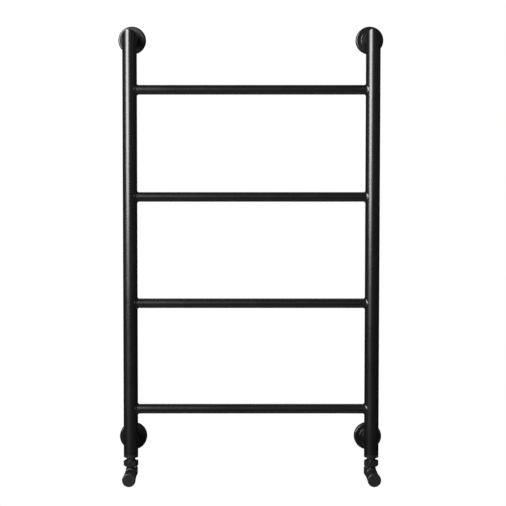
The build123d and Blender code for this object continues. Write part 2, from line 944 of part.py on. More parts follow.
    # The knob: a slightly flared grip, hollow at the back to clear the bonnet's nose
    hub_r = spindle_stem_d / 2 + thread_gap
    with BuildPart() as knob:
        add(
            turned(
                centre,
                forwards,
                [
                    (knob_back, knob_skirt_d / 2),
                    (knob_back, knob_back_d / 2),
                    (knob_front, knob_front_d / 2),
                    (knob_front, 0),
                    (spindle_front + end_gap, 0),
                    (spindle_front + end_gap, hub_r),
                    (hub_back, hub_r),
                    (hub_back, knob_skirt_d / 2),
                ],
            )
        )
        fillet(circles(knob, knob_front_d / 2), knob_front_rounding)
        fillet(circles(knob, knob_back_d / 2), knob_back_rounding)
        grub_start = Plane(
            origin=(side_x(side), upright_y - spindle_front + spindle_flat_length / 2, valve_z),
            z_dir=(0, 0, -1),
        )
        with BuildSketch(grub_start):
            Circle(knob_grub_d / 2 + thread_gap)
        extrude(amount=knob_front_d, mode=Mode.SUBTRACT)
    save(knob, f"knob_{side_name}")

    with BuildPart() as knob_grub_screw:
        with BuildSketch(grub_start.offset(flat_r + thread_gap)):
            Circle(knob_grub_d / 2)
        extrude(amount=knob_grub_length)
        with BuildSketch(grub_start.offset(flat_r + thread_gap + knob_grub_length)):
            RegularPolygon(knob_grub_socket / 2, 6, major_radius=False)
        extrude(amount=-knob_grub_socket, mode=Mode.SUBTRACT)
    save(knob_grub_screw, f"knob_grub_screw_{side_name}")
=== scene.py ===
import math

import bmesh
import bpy
import numpy as np
from bpy.props import FloatProperty, FloatVectorProperty, IntProperty, PointerProperty
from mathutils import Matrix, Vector


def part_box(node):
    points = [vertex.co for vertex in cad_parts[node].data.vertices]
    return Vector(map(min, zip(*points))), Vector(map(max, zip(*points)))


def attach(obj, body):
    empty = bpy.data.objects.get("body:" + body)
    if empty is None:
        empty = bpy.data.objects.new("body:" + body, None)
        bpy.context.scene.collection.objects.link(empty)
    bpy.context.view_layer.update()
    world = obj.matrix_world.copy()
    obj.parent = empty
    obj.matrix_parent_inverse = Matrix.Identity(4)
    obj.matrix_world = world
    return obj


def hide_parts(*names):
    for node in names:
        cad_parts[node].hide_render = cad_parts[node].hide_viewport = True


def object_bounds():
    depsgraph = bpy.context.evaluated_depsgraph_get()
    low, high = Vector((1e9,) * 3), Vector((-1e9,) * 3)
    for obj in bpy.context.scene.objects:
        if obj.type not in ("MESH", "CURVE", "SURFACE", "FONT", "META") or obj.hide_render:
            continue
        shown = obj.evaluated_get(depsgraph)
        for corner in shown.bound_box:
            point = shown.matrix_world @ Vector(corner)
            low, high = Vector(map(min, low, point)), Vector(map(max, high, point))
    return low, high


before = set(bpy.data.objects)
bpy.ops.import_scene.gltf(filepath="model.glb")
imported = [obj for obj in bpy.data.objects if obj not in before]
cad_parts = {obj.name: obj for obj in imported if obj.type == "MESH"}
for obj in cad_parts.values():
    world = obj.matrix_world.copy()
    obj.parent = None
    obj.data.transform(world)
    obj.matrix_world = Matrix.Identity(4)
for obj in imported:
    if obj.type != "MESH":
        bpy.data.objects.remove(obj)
cad_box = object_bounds()

bl_info = {
    "name": "Ladder Towel Warmer",
    "version": (1, 0, 0),
    "blender": (4, 5, 0),
    "location": "View3D > Sidebar > Towel Warmer",
    "description": "Finishes, weld beads and softened fittings for a wall-hung ladder towel warmer",
    "category": "Object",
}

SIDES = {"left": -1, "right": 1}
LEVELS = ("top", "bottom")
RAILS = ("rail_1", "rail_2", "rail_3", "rail_4")
UP = np.array([0.0, 0.0, 1.0])
FORWARDS = np.array([0.0, -1.0, 0.0])
BACKWARDS = np.array([0.0, 1.0, 0.0])


# Places and sizes read from the frame


def middle(node):
    """The middle of a node's box, as an array."""
    low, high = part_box(node)
    return np.array((low + high) / 2)


def size(node):
    """The size of a node's box, as an array."""
    low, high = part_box(node)
    return np.array(high - low)


UPRIGHT_R = size("upright_left")[0] / 2
RAIL_R = size("rail_1")[2] / 2
UPRIGHT_Y = middle("rail_1")[1]
UPRIGHT_X = middle("upright_right")[0]
STUB_Z = {level: middle(f"rosette_{level}_left")[2] for level in LEVELS}
VALVE_Z = middle("bonnet_left")[2]

# Union nuts: width across flats, how much their end cones cut from a corner at the foot and at
# the top, and how far a flat of each is turned from the wall side
UNION_FLATS = 0.027
UNION_CUTS = (0.0026, 0.001)
UNION_TURN = {"left": 12, "right": 9}
UNION_BORE_R = 0.01155
UNION_LIP = 0.0025
TAIL_HOLE_R = 0.0106

# Compression nuts: the same sizes, from the wall end to the room end
PIPE_FLATS = 0.024
PIPE_CUTS = (0.0012, 0.0006)
PIPE_TURN = 30
PIPE_FLOOR = 0.0025
PIPE_HOLE_R = 0.0076
THREAD_HOLE_R = 0.0105

# How finely the surfaces are drawn
ARC_STEPS = 9
RIPPLE_STEPS = 8
BEAD_STEPS = 9
MITRE_STEPS = 121
MITRE_ROWS = 11
NUT_SEGMENTS = 240
NUT_EDGE_STEPS = 6
NUT_ZONE_STEPS = 16
FLOOR_SEGMENTS = 192

# A nut's corners grow sharper with the power, its end cones steeper as the slope shrinks, and
# its cone edges softer with the blend, a share of its edge rounding
CORNER_POWER = 70
CONE_SLOPE = 0.6
CONE_BLEND = 0.35

# How much rougher the coat is on the fittings, and the depth of the bumps in each finish
FITTING_ROUGHER = 0.05
COAT_RELIEF = 0.000012
TURNED_RELIEF = 0.00001
RUBBER_RELIEF = 0.00002

# The floor: a disc with a rounded rim, well below the valves
FLOOR_DROP = 0.35
FLOOR_R = 0.84
FLOOR_CORE_R = 0.02
FLOOR_DEPTH = 0.02
FLOOR_RIM = 0.008


def valve_centre(side):
    """The point where a valve's own axis meets the axis of the upright above it."""
    return np.array([side * UPRIGHT_X, UPRIGHT_Y, VALVE_Z])


# What a user may change


class CoatSettings(bpy.types.PropertyGroup):
    color: FloatVectorProperty(
        name="Coat colour",
        description="Colour of the satin powder coat",
        subtype="COLOR",
        size=3,
        min=0.0,
        max=1.0,
        default=(0.0021, 0.0021, 0.0023),
    )
    sheen_color: FloatVectorProperty(
        name="Handled colour",
        description="Colour of the coat where hands and towels have polished it",
        subtype="COLOR",
        size=3,
        min=0.0,
        max=1.0,
        default=(0.0036, 0.0036, 0.0038),
    )
    fitting_color: FloatVectorProperty(
        name="Fitting colour",
        description="Colour of the coat on the valves and nuts, a shade greyer than the tubes",
        subtype="COLOR",
        size=3,
        min=0.0,
        max=1.0,
        default=(0.0075, 0.0075, 0.0077),
    )
    roughness: FloatProperty(
        name="Coat roughness",
        description="Roughness of the satin coat",
        default=0.27,
        min=0.0,
        max=1.0,
        subtype="FACTOR",
    )
    peel_pitch: FloatProperty(
        name="Orange peel pitch",
        description="Width of the coat's slow ripple",
        default=0.0022,
        min=0.0002,
        max=0.02,
        unit="LENGTH",
    )


class BeadSettings(bpy.types.PropertyGroup):
    leg: FloatProperty(
        name="Bead leg",
        description="How far a weld bead reaches along each tube",
        default=0.002,
        min=0.0005,
        max=0.006,
        unit="LENGTH",
    )
    crown: FloatProperty(
        name="Bead crown",
        description="How far a weld bead's face bulges",
        default=0.0002,
        min=0.0,
        max=0.002,
        unit="LENGTH",
    )
    ripple_pitch: FloatProperty(
        name="Ripple pitch",
        description="Distance from one weld ripple to the next",
        default=0.0018,
        min=0.0005,
        max=0.01,
        unit="LENGTH",
    )
    ripple_height: FloatProperty(
        name="Ripple height",
        description="Height of the weld ripples under the coat",
        default=0.00009,
        min=0.0,
        max=0.001,
        unit="LENGTH",
    )


class FittingSettings(bpy.types.PropertyGroup):
    edge: FloatProperty(
        name="Edge rounding",
        description="Radius of the fittings' coated edges",
        default=0.0005,
        min=0.0001,
        max=0.002,
        unit="LENGTH",
    )
    voxel: FloatProperty(
        name="Forging grain",
        description="Size of the grid that the forged valve bodies are rounded on",
        default=0.0004,
        min=0.0002,
        max=0.002,
        unit="LENGTH",
    )
    soften: IntProperty(
        name="Forging softness",
        description="How often the forged valve bodies are smoothed",
        default=9,
        min=0,
        max=60,
    )


class StudioSettings(bpy.types.PropertyGroup):
    view_width: FloatProperty(
        name="View width",
        description="Width that the picture shows at the uprights",
        default=1.0434,
        min=0.2,
        max=5.0,
        unit="LENGTH",
    )
    distance: FloatProperty(
        name="Camera distance",
        description="Distance from the camera to the uprights",
        default=2.51,
        min=0.5,
        max=10.0,
        unit="LENGTH",
    )
    eye: FloatVectorProperty(
        name="Camera place",
        description="Camera's place across and above the middle of the wall fixings",
        size=2,
        default=(-0.045, 0.143),
        unit="LENGTH",
    )
    tilt: FloatProperty(
        name="Camera tilt",
        description="How far the camera looks down",
        default=math.radians(2.6),
        min=-1.5,
        max=1.5,
        subtype="ANGLE",
    )
    shift: FloatVectorProperty(
        name="Camera shift",
        description="Lens shift across and up, as shares of the picture",
        size=2,
        default=(0.0465, -0.0505),
    )
    key_radiance: FloatProperty(
        name="Key brightness",
        description="Brightness of the large soft light at the front left",
        default=20.0,
        min=0.0,
        max=200.0,
    )
    room_light: FloatProperty(
        name="Room light",
        description="Brightness of the pale room that the object reflects",
        default=0.2,
        min=0.0,
        max=5.0,
    )


# Surfaces


def grid_faces(rows, columns, close_rows):
    """Quads between neighbouring points of a rows by columns grid whose columns wrap round.
    The last row also meets the first where close_rows is true."""
    last = rows if close_rows else rows - 1
    r, c = np.meshgrid(np.arange(last), np.arange(columns), indexing="ij")
    below = (r + 1) % rows
    beside = (c + 1) % columns
    corners = (r * columns + c, r * columns + beside, below * columns + beside, below * columns + c)
    return np.stack(corners, axis=-1).reshape(-1, 4)


def swept_volume(points, faces):
    """Six times the signed volume inside flat faces: the sum of the triple products of the
    triangles in each face's fan. It is positive where the faces point outwards."""
    corners = points[faces]
    total = 0.0
    for last in range(2, faces.shape[1]):
        normals = np.cross(corners[:, last - 1], corners[:, last])
        total += np.einsum("ij,ij->", corners[:, 0], normals)
    return total


def ring_surface(grid):
    """A closed ring from a (rows, columns, 3) grid whose rows and columns both wrap."""
    rows, columns = grid.shape[:2]
    points = grid.reshape(-1, 3)
    faces = grid_faces(rows, columns, True)
    if swept_volume(points, faces) <= 0:
        faces = faces[:, ::-1]
    return points, faces.tolist()


def capped_surface(grid):
    """A closed solid from a grid whose columns wrap, with a fan to the middle of the first
    row and of the last row."""
    rows, columns = grid.shape[:2]
    ends = np.stack([grid[0].mean(axis=0), grid[-1].mean(axis=0)])
    points = np.concatenate([grid.reshape(-1, 3), ends])
    quads = grid_faces(rows, columns, False)
    around = np.arange(columns)
    beside = (around + 1) % columns
    start = (rows - 1) * columns
    tips = np.full((2, columns), rows * columns) + np.array([[0], [1]])
    first = np.stack([beside, around, tips[0]], axis=-1)
    last = np.stack([start + around, start + beside, tips[1]], axis=-1)
    fans = np.concatenate([first, last])
    if swept_volume(points, quads) + swept_volume(points, fans) < 0:
        quads, fans = quads[:, ::-1], fans[:, ::-1]
    return points, quads.tolist() + fans.tolist()


def joined(surfaces):
    """Several (points, faces) surfaces as one."""
    points, faces, start = [], [], 0
    for surface_points, surface_faces in surfaces:
        points.append(surface_points)
        faces.extend([[corner + start for corner in face] for face in surface_faces])
        start += len(surface_points)
    return np.concatenate(points), faces


def new_piece(name, surface, material, body, replaced=()):
    """Puts a surface into the scene as a smooth-shaded piece on a body of the frame."""
    points, faces = surface
    mesh = bpy.data.meshes.new(name)
    mesh.from_pydata(points.tolist(), [], faces)
    mesh.polygons.foreach_set("use_smooth", np.ones(len(mesh.polygons), dtype=bool))
    mesh.update()
    mesh.validate()
    mesh.materials.append(material)
    piece = bpy.data.objects.new(name, mesh)
    bpy.context.scene.collection.objects.link(piece)
    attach(piece, body)
    if replaced:
        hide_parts(*replaced)
    return piece


def axis_frame(direction):
    """Two unit arrays square to a direction and to each other."""
    helper = np.array([1.0, 0.0, 0.0]) if abs(direction[0]) < 0.9 else np.array([0.0, 0.0, 1.0])
    across = np.cross(direction, helper)
    across /= np.linalg.norm(across)
    return across, np.cross(direction, across)


def arc_profile(corners):
    """A lathe profile from (length, radius, rounding) corners: each rounded corner becomes an
    arc that touches both of its straight runs."""
    outline = []
    count = len(corners)
    for i, (length, radius, rounding) in enumerate(corners):
        here = np.array([length, radius])
        if rounding == 0:
            outline.append(here)
            continue
        before = np.array(corners[i - 1][:2]) - here
        after = np.array(corners[(i + 1) % count][:2]) - here
        before /= np.linalg.norm(before)
        after /= np.linalg.norm(after)
        half = math.acos(float(np.clip(before @ after, -1, 1))) / 2
        reach = rounding / math.tan(half)
        towards = (before + after) / np.linalg.norm(before + after)
        centre = here + towards * rounding / math.sin(half)
        start = here + before * reach - centre
        end = here + after * reach - centre
        turn = math.acos(float(np.clip(start @ end / rounding**2, -1, 1)))
        steps = np.linspace(0, 1, ARC_STEPS)[:, None]
        arc = (np.sin((1 - steps) * turn) * start + np.sin(steps * turn) * end) / math.sin(turn)
        outline.extend(centre + arc)
    return np.array(outline)


def lathe(origin, direction, profile, segments):
    """Points of a (length, radius) profile turned about a direction: the axis point at that
    length, plus the radius along the direction's two cross axes by cosine and sine."""
    across, beside = axis_frame(direction)
    turn = np.arange(segments) * 2 * math.pi / segments
    spokes = np.cos(turn)[:, None] * across + np.sin(turn)[:, None] * beside
    along = origin + profile[:, :1] * direction
    return along[:, None, :] + profile[:, 1, None, None] * spokes[None]


def saddle_bead(centre, branch, branch_r, trunk_r, settings):
    """The fillet weld where a round branch meets a round upright trunk. Round the branch by an
    angle a, the seam lies at the depth where the trunk's circle passes the branch's side:
    depth = root(trunk_r squared - (branch_r cos a) squared). The bead's face is a straight
    line from a toe on the branch to a toe on the trunk, raised by a sine crown and by
    ripples, and its root lies just inside the metal. The legs wander by a few percent."""
    ripples = round(2 * math.pi * branch_r / settings.ripple_pitch)
    count = ripples * RIPPLE_STEPS
    angle = np.arange(count) * 2 * math.pi / count
    cosine, sine = np.cos(angle), np.sin(angle)
    sideways = np.cross(UP, branch)

    def seam_depth(radius):
        across = np.minimum(radius, trunk_r) * cosine
        return np.sqrt(np.maximum(trunk_r**2 - across**2, 0))

    def ring(radius, depth):
        across = np.minimum(radius, trunk_r) * cosine
        flat = centre + depth[:, None] * branch + across[:, None] * sideways
        return flat + (radius * sine)[:, None] * UP

    wander = 1 + 0.06 * np.sin(3 * angle + 0.7) + 0.04 * np.sin(7 * angle)
    leg = settings.leg * wander
    sunk = settings.leg / 4
    branch_toe = ring(branch_r, seam_depth(branch_r) + leg)
    trunk_toe = ring(branch_r + leg, seam_depth(branch_r + leg))
    root = ring(branch_r - sunk, seam_depth(branch_r) - sunk)
    rise = (branch_toe + trunk_toe) / 2 - root
    rise /= np.linalg.norm(rise, axis=1)[:, None]
    ripple = settings.ripple_height * np.abs(np.sin(angle * ripples / 2))
    share = np.linspace(0, 1, BEAD_STEPS)[:, None, None]
    face = (1 - share) * branch_toe + share * trunk_toe
    face = face + np.sin(math.pi * share) * (settings.crown + ripple)[:, None] * rise
    return ring_surface(np.concatenate([face, root[None]]))


def mitre_ridge(side, settings):
    """The ground-down weld of a top mitre. The seam is where the upright's circle meets the 45
    degree plane, so its height falls by the radius times the sine of the angle round the
    upright. The ridge is a low parabola across the seam that dies away at both ends."""
    corner = np.array([side * UPRIGHT_X, UPRIGHT_Y, STUB_Z["top"]])
    start = math.radians(-38)
    angle = np.linspace(start, math.pi - start, MITRE_STEPS)
    cosine, sine = np.cos(angle), np.sin(angle)
    seam = corner + UPRIGHT_R * np.stack([cosine, sine, -sine], axis=-1)
    normal = np.stack([cosine, sine / 2, -sine / 2], axis=-1)
    normal /= np.linalg.norm(normal, axis=1)[:, None]
    fade = np.clip(np.sin(np.linspace(0, math.pi, MITRE_STEPS)) * 3, 0.02, 1)
    width = (settings.leg * 0.9 * fade)[:, None]
    height = (settings.ripple_height * 3.2 * fade)[:, None]
    rows = []
    for share in np.linspace(-1, 1, MITRE_ROWS):
        run = (0, 0, -1) if share < 0 else (0, 1, 0)
        rows.append(seam + abs(share) * width * np.array(run) + (1 - share**2) * height * normal)
    rows.append(seam - height * 2 * normal)
    return capped_surface(np.stack(rows).transpose(1, 0, 2))


def hexagon_nut(origin, direction, start, end, flats, cuts, turn, inner, edge):
    """A hexagon nut. Its side radius is half the width across flats over the p-norm of the
    cosines to its three pairs of flats, which rounds the corners, and where the end cones
    are smaller it blends into them by a soft minimum. The end edges are quarter arcs. inner
    is the bore's (length, radius) profile from the end back to the start."""
    across, beside = axis_frame(direction)
    angle = np.arange(NUT_SEGMENTS) * 2 * math.pi / NUT_SEGMENTS
    three = np.abs(np.cos(angle[:, None] - turn - np.arange(3) * math.pi / 3))
    side_r = flats / 2 / (three**CORNER_POWER).sum(axis=1) ** (1 / CORNER_POWER)
    tip_r = flats / math.sqrt(3)
    blend = edge * CONE_BLEND

    def outer(length):
        first = tip_r - cuts[0] + (length - start) / CONE_SLOPE
        last = tip_r - cuts[1] + (end - length) / CONE_SLOPE
        return -blend * np.logaddexp(-side_r / blend, -min(first, last) / blend)

    def rounded_end(face, inwards):
        side = outer(face + inwards * edge)
        bends = np.linspace(0, math.pi / 2, NUT_EDGE_STEPS)
        return [(face + inwards * edge * (1 - math.sin(a)), side - edge * (1 - math.cos(a))) for a in bends]

    zone = (end - start) / 4
    near_start = np.linspace(start + edge, start + zone, NUT_ZONE_STEPS)[1:]
    near_end = np.linspace(end - zone, end - edge, NUT_ZONE_STEPS)[:-1]
    rows = rounded_end(start, 1)[::-1]
    rows += [(length, outer(length)) for length in np.concatenate([near_start, near_end])]
    rows += rounded_end(end, -1)
    rows += [(length, np.full(NUT_SEGMENTS, radius)) for length, radius in inner]
    spokes = np.cos(angle)[:, None] * across + np.sin(angle)[:, None] * beside
    points = [origin + length * direction + radius[:, None] * spokes for length, radius in rows]
    return ring_surface(np.stack(points))


# Shader node groups


def new_group(name, inputs, outputs):
    """An empty shader node group with float, vector or colour sockets: {name: (kind, default)}."""
    group = bpy.data.node_groups.new(name, "ShaderNodeTree")
    for socket, (kind, value) in inputs.items():
        made = group.interface.new_socket(name=socket, in_out="INPUT", socket_type=kind)
        if value is not None:
            made.default_value = value
    for socket, kind in outputs.items():
        group.interface.new_socket(name=socket, in_out="OUTPUT", socket_type=kind)
    start = group.nodes.new("NodeGroupInput")
    end = group.nodes.new("NodeGroupOutput")
    start.location, end.location = (-900, 0), (700, 0)
    return group, start, end


def math_node(tree, operation, first, second=None, third=None):
    """A Math node fed by sockets or plain numbers. Returns its output."""
    node = tree.nodes.new("ShaderNodeMath")
    node.operation = operation
    for index, value in enumerate((first, second, third)):
        if value is None:
            continue
        if isinstance(value, (int, float)):
            node.inputs[index].default_value = value
        else:
            tree.links.new(value, node.inputs[index])
    return node.outputs[0]


def noise_node(tree, vector, scale, detail=3.0, roughness=0.5):
    """A 3-D noise texture. The scale may be a number or a socket. Returns the noise value."""
    node = tree.nodes.new("ShaderNodeTexNoise")
    node.inputs["Detail"].default_value = detail
    node.inputs["Roughness"].default_value = roughness
    tree.links.new(vector, node.inputs["Vector"])
    if isinstance(scale, (int, float)):
        node.inputs["Scale"].default_value = scale
    else:
        tree.links.new(scale, node.inputs["Scale"])
    return node.outputs["Fac"]


def spread(tree, value, low, high):
    """Stretches a mid-range noise value to run from low to high, clamped."""
    node = tree.nodes.new("ShaderNodeMapRange")
    node.inputs["From Min"].default_value = 0.3
    node.inputs["From Max"].default_value = 0.7
    node.inputs["To Min"].default_value = low
    node.inputs["To Max"].default_value = high
    tree.links.new(value, node.inputs["Value"])
    return node.outputs["Result"]


def mixed(tree, share, first, second):
    """A colour mix of two sockets by a share. Returns its output."""
    node = tree.nodes.new("ShaderNodeMix")
    node.data_type = "RGBA"
    tree.links.new(share, node.inputs["Factor"])
    tree.links.new(first, node.inputs[6])
    tree.links.new(second, node.inputs[7])
    return node.outputs[2]


def coat_group():
    """Powder coat: slow orange peel, fine grain, faint cloudiness and patches polished by handling."""
    group, start, end = new_group(
        "Powder coat",
        {
            "Vector": ("NodeSocketVector", None),
            "Colour": ("NodeSocketColor", (0.01, 0.01, 0.01, 1)),
            "Handled colour": ("NodeSocketColor", (0.02, 0.02, 0.02, 1)),
            "Roughness": ("NodeSocketFloat", 0.3),
            "Peel scale": ("NodeSocketFloat", 450.0),
        },
        {"Colour": "NodeSocketColor", "Roughness": "NodeSocketFloat", "Height": "NodeSocketFloat"},
    )
    vector = start.outputs["Vector"]
    peel = noise_node(group, vector, start.outputs["Peel scale"], detail=1.5)
    grain = noise_node(group, vector, 5200.0, detail=2.0)
    cloud = noise_node(group, vector, 14.0, detail=4.0)
    streak = noise_node(group, vector, 95.0, detail=5.0, roughness=0.6)
    handled = math_node(group, "MULTIPLY", spread(group, cloud, 0, 1), spread(group, streak, 0.3, 1))
    color = mixed(group, handled, start.outputs["Colour"], start.outputs["Handled colour"])
    change = math_node(group, "ADD", spread(group, cloud, -0.02, 0.02), spread(group, grain, -0.02, 0.03))
    roughness = math_node(group, "ADD", start.outputs["Roughness"], change)
    height = math_node(group, "MULTIPLY_ADD", grain, 0.12, peel)
    group.links.new(color, end.inputs["Colour"])
    group.links.new(roughness, end.inputs["Roughness"])
    group.links.new(height, end.inputs["Height"])
    return group


def turning_group():
    """Turning marks: noise that only varies along the work's axis and outwards from it, so
    that it runs round the piece in fine rings."""
    group, start, end = new_group(
        "Turning marks",
        {
            "Vector": ("NodeSocketVector", None),
            "Colour": ("NodeSocketColor", (0.6, 0.6, 0.6, 1)),
            "Dull colour": ("NodeSocketColor", (0.4, 0.4, 0.4, 1)),
            "Roughness": ("NodeSocketFloat", 0.25),
        },
        {"Colour": "NodeSocketColor", "Roughness": "NodeSocketFloat", "Height": "NodeSocketFloat"},
    )
    vector = start.outputs["Vector"]
    parts = group.nodes.new("ShaderNodeSeparateXYZ")
    group.links.new(vector, parts.inputs[0])
    width = math_node(group, "POWER", parts.outputs["X"], 2)
    height = math_node(group, "POWER", parts.outputs["Z"], 2)
    radius = math_node(group, "SQRT", math_node(group, "ADD", width, height))
    rings = group.nodes.new("ShaderNodeCombineXYZ")
    group.links.new(parts.outputs["Y"], rings.inputs["X"])
    group.links.new(radius, rings.inputs["Y"])
    marks = noise_node(group, rings.outputs[0], 4200.0, detail=3.0, roughness=0.7)
    stain = noise_node(group, vector, 320.0, detail=5.0, roughness=0.65)
    color = mixed(group, spread(group, stain, 0, 1), start.outputs["Colour"], start.outputs["Dull colour"])
    change = math_node(group, "ADD", spread(group, marks, -0.05, 0.08), spread(group, stain, -0.03, 0.08))
    roughness = math_node(group, "ADD", start.outputs["Roughness"], change)
    group.links.new(color, end.inputs["Colour"])
    group.links.new(roughness, end.inputs["Roughness"])
    group.links.new(marks, end.inputs["Height"])
    return group


def rubber_group():
    """Moulded rubber: bloom in patches and a fine matt skin."""
    group, start, end = new_group(
        "Moulded rubber",
        {
            "Vector": ("NodeSocketVector", None),
            "Colour": ("NodeSocketColor", (0.02, 0.02, 0.02, 1)),
            "Bloom colour": ("NodeSocketColor", (0.06, 0.06, 0.06, 1)),
            "Roughness": ("NodeSocketFloat", 0.7),
        },
        {"Colour": "NodeSocketColor", "Roughness": "NodeSocketFloat", "Height": "NodeSocketFloat"},
    )
    vector = start.outputs["Vector"]
    bloom = noise_node(group, vector, 260.0, detail=4.0)
    skin = noise_node(group, vector, 3600.0, detail=2.0)
    color = mixed(group, spread(group, bloom, 0, 1), start.outputs["Colour"], start.outputs["Bloom colour"])
    roughness = math_node(group, "ADD", start.outputs["Roughness"], spread(group, skin, -0.06, 0.06))
    group.links.new(color, end.inputs["Colour"])
    group.links.new(roughness, end.inputs["Roughness"])
    group.links.new(skin, end.inputs["Height"])
    return group


def effect_group(name):
    """The named node group, built the first time that it is asked for."""
    makers = {
        "Powder coat": coat_group,
        "Turning marks": turning_group,
        "Moulded rubber": rubber_group,
    }
    return bpy.data.node_groups.get(name) or makers[name]()


def surface_material(name, effect, values, relief, centre=(0, 0, 0), metallic=0.0):
    """A material whose colour, roughness and bump come from an effect group that reads Object
    coordinates, moved so that the centre is at zero."""
    material = bpy.data.materials.new(name)
    material.use_nodes = True
    tree = material.node_tree
    shader = tree.nodes["Principled BSDF"]
    shader.inputs["Metallic"].default_value = metallic
    coordinates = tree.nodes.new("ShaderNodeTexCoord")
    place = tree.nodes.new("ShaderNodeMapping")
    place.vector_type = "TEXTURE"
    place.inputs["Location"].default_value = tuple(centre)
    node = tree.nodes.new("ShaderNodeGroup")
    node.node_tree = effect_group(effect)
    for socket, value in values.items():
        node.inputs[socket].default_value = value
    bump = tree.nodes.new("ShaderNodeBump")
    bump.inputs["Distance"].default_value = relief
    tree.links.new(coordinates.outputs["Object"], place.inputs["Vector"])
    tree.links.new(place.outputs["Vector"], node.inputs["Vector"])
    tree.links.new(node.outputs["Colour"], shader.inputs["Base Color"])
    tree.links.new(node.outputs["Roughness"], shader.inputs["Roughness"])
    tree.links.new(node.outputs["Height"], bump.inputs["Height"])
    tree.links.new(bump.outputs["Normal"], shader.inputs["Normal"])
    return material


def coat_material(fitting=False):
    """The satin black powder coat of the tubes, or the greyer and rougher one of the fittings."""
    coat = bpy.context.scene.towel_coat
    name = "Satin black coat on fittings" if fitting else "Satin black coat"
    values = {
        "Colour": (*(coat.fitting_color if fitting else coat.color), 1),
        "Handled colour": (*(coat.fitting_color if fitting else coat.sheen_color), 1),
        "Roughness": coat.roughness + (FITTING_ROUGHER if fitting else 0),
        "Peel scale": 1 / coat.peel_pitch,
    }
    made = bpy.data.materials.get(name)
    return made or surface_material(name, "Powder coat", values, COAT_RELIEF)


def turned_material(name, color, dull, roughness, centre=(0, 0, 0)):
    """Bare turned metal with rings about its own axis, which runs along Y through the centre."""
    values = {"Colour": (*color, 1), "Dull colour": (*dull, 1), "Roughness": roughness}
    return surface_material(name, "Turning marks", values, TURNED_RELIEF, centre, metallic=1.0)


def rubber_material():
    """Black moulded rubber for rings, washers and gaskets."""
    return bpy.data.materials.get("Black rubber") or surface_material(
        "Black rubber",
        "Moulded rubber",
        {
            "Colour": (0.016, 0.016, 0.017, 1),
            "Bloom colour": (0.04, 0.04, 0.041, 1),
            "Roughness": 0.72,
        },
        RUBBER_RELIEF,
    )


def paint(node, material):
    """Puts a material on every slot of a CAD node."""
    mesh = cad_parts[node].data
    mesh.materials.clear()
    mesh.materials.append(material)
    mesh.polygons.foreach_set("material_index", np.zeros(len(mesh.polygons), dtype=np.int32))


COATED_FITTINGS = (
    "end_boss", "tailpiece", "union_nut", "valve_body", "compression_nut", "bonnet", "knob",
)

# Bare metals: a bright colour and a dull one
BRASS = ((0.66, 0.43, 0.17), (0.45, 0.28, 0.11))
NICKEL = ((0.62, 0.60, 0.56), (0.45, 0.43, 0.40))
ZINC = ((0.55, 0.56, 0.58), (0.36, 0.37, 0.39))
OXIDE = ((0.045, 0.043, 0.042), (0.025, 0.024, 0.024))


# Operators


class TOWEL_OT_coat_tubes(bpy.types.Operator):
    """Puts the satin black coat on the tubes, stubs, rosettes and coated fittings."""

    bl_idname = "towel.coat_tubes"
    bl_label = "Coat the tubes and fittings"

    def execute(self, context):
        coat = coat_material()
        fittings = coat_material(fitting=True)
        coated = [f"{part}_{side}" for side in SIDES for part in ("upright", "top_stub", "bottom_stub")]
        coated += [f"rosette_{level}_{side}" for side in SIDES for level in LEVELS]
        for node in (*coated, *RAILS, "rail_welds", "vent_boss"):
            paint(node, coat)
        for side in SIDES:
            for part in COATED_FITTINGS:
                paint(f"{part}_{side}", fittings)
        return {"FINISHED"}


class TOWEL_OT_finish_metal(bpy.types.Operator):
    """Puts bare brass, nickel, zinc and black oxide on the turned pieces."""

    bl_idname = "towel.finish_metal"
    bl_label = "Finish the bare metal pieces"

    def execute(self, context):
        for name, side in SIDES.items():
            centre = valve_centre(side)
            brass = turned_material(f"Turned brass {name}", *BRASS, roughness=0.24, centre=centre)
            for part in ("olive", "spindle", "jumper"):
                paint(f"{part}_{name}", brass)
            oxide = turned_material(f"Black oxide knob screw {name}", *OXIDE, roughness=0.4, centre=centre)
            paint(f"knob_grub_screw_{name}", oxide)
            for level in LEVELS:
                place = (side * UPRIGHT_X, 0, STUB_Z[level])
                zinc = turned_material(f"Zinc spigot {level} {name}", *ZINC, roughness=0.3, centre=place)
                paint(f"wall_spigot_{level}_{name}", zinc)
        vent = middle("vent_plug")
        paint("vent_plug", turned_material("Nickelled vent plug", *NICKEL, roughness=0.16, centre=vent))
        paint("bleed_screw", turned_material("Turned brass bleed screw", *BRASS, roughness=0.22, centre=vent))
        paint("socket_plugs", turned_material("Zinc socket plugs", *ZINC, roughness=0.34))
        paint("grub_screws", turned_material("Black oxide grub screws", *OXIDE, roughness=0.4))
        return {"FINISHED"}


class TOWEL_OT_finish_seals(bpy.types.Operator):
    """Puts matt black rubber on the rings, gaskets and seat washers."""

    bl_idname = "towel.finish_seals"
    bl_label = "Finish the seals"

    def execute(self, context):
        rubber = rubber_material()
        for node in ("rosette_o_rings", "tail_o_rings", "vent_o_ring"):
            paint(node, rubber)
        for side in SIDES:
            for part in ("union_gasket", "bonnet_o_ring", "gland_o_ring", "seat_washer"):
                paint(f"{part}_{side}", rubber)
        return {"FINISHED"}


